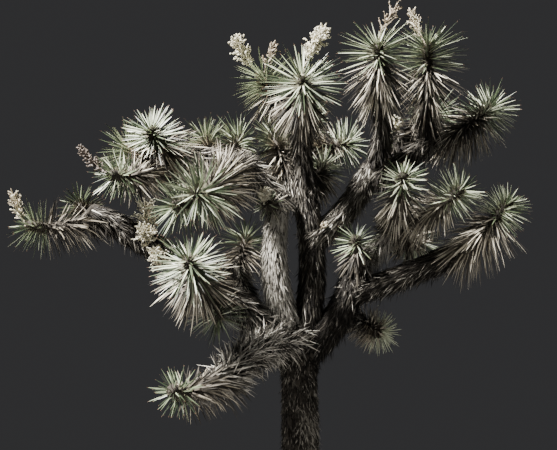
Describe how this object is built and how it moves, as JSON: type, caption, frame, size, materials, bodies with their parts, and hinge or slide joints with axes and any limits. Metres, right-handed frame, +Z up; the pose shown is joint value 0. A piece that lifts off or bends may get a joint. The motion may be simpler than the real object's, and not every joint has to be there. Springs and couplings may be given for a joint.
{
  "type": "joshua tree",
  "caption": "Joshua tree rooted in the ground: a thick shaggy trunk forks into crooked boughs that end in heads of dagger leaves, some with a flower spike.",
  "frame": {"origin": "middle of the flat cut under the trunk, at ground level", "axes": "+Z up along the trunk, -Y towards the side seen in the picture, +X to that side's right"},
  "size_m": [4.4002, 3.0497, 4.4491],
  "materials": {
    "bark": "rough, shaggy with dead leaves",
    "leaves": "dull sheen, stiff"
  },
  "bodies": {
    "root": {"trunk": "bark", "stem_main": "bark", "bough_low_left": "bark", "bough_left": "bark", "bough_left_reach": "bark", "bough_left_back": "bark", "stem_left": "bark", "bough_inner_left": "bark", "bough_upper_left": "bark", "bough_upper_left_front": "bark", "bough_upper_left_back": "bark", "bough_top": "bark", "bough_top_back": "bark", "bough_upper_right": "bark", "bough_right_top_front": "bark", "bough_right_top": "bark", "bough_right_top_back": "bark", "bough_right": "bark", "bough_right_reach": "bark", "bough_right_low": "bark", "bough_mid_right": "bark", "head_low_left": "leaves", "head_left_end": "leaves", "head_left_crook": "leaves", "head_left_front": "leaves", "head_left_under": "leaves", "head_left_back": "leaves", "head_upper_left_front": "leaves", "head_upper_left_far": "leaves", "head_upper_left_low": "leaves", "head_inner_left_front": "leaves", "head_inner_left_side": "leaves", "head_left_stem_bud": "leaves", "head_back_left": "leaves", "head_back_left_inner": "leaves", "head_back_left_far": "leaves", "head_top_front": "leaves", "head_top_left": "leaves", "head_top_back": "leaves", "head_back_right_inner": "leaves", "head_top_middle_back": "leaves", "head_behind_stem": "leaves", "head_right_top_front": "leaves", "head_right_top": "leaves", "head_right_side": "leaves", "head_right_fork_bud": "leaves", "head_right_back": "leaves", "head_right_reach": "leaves", "head_right_low": "leaves", "head_mid_right_front": "leaves", "head_mid_right_side": "leaves", "head_mid_right_under": "leaves", "head_right_fork": "leaves"}
  },
  "joints": []
}
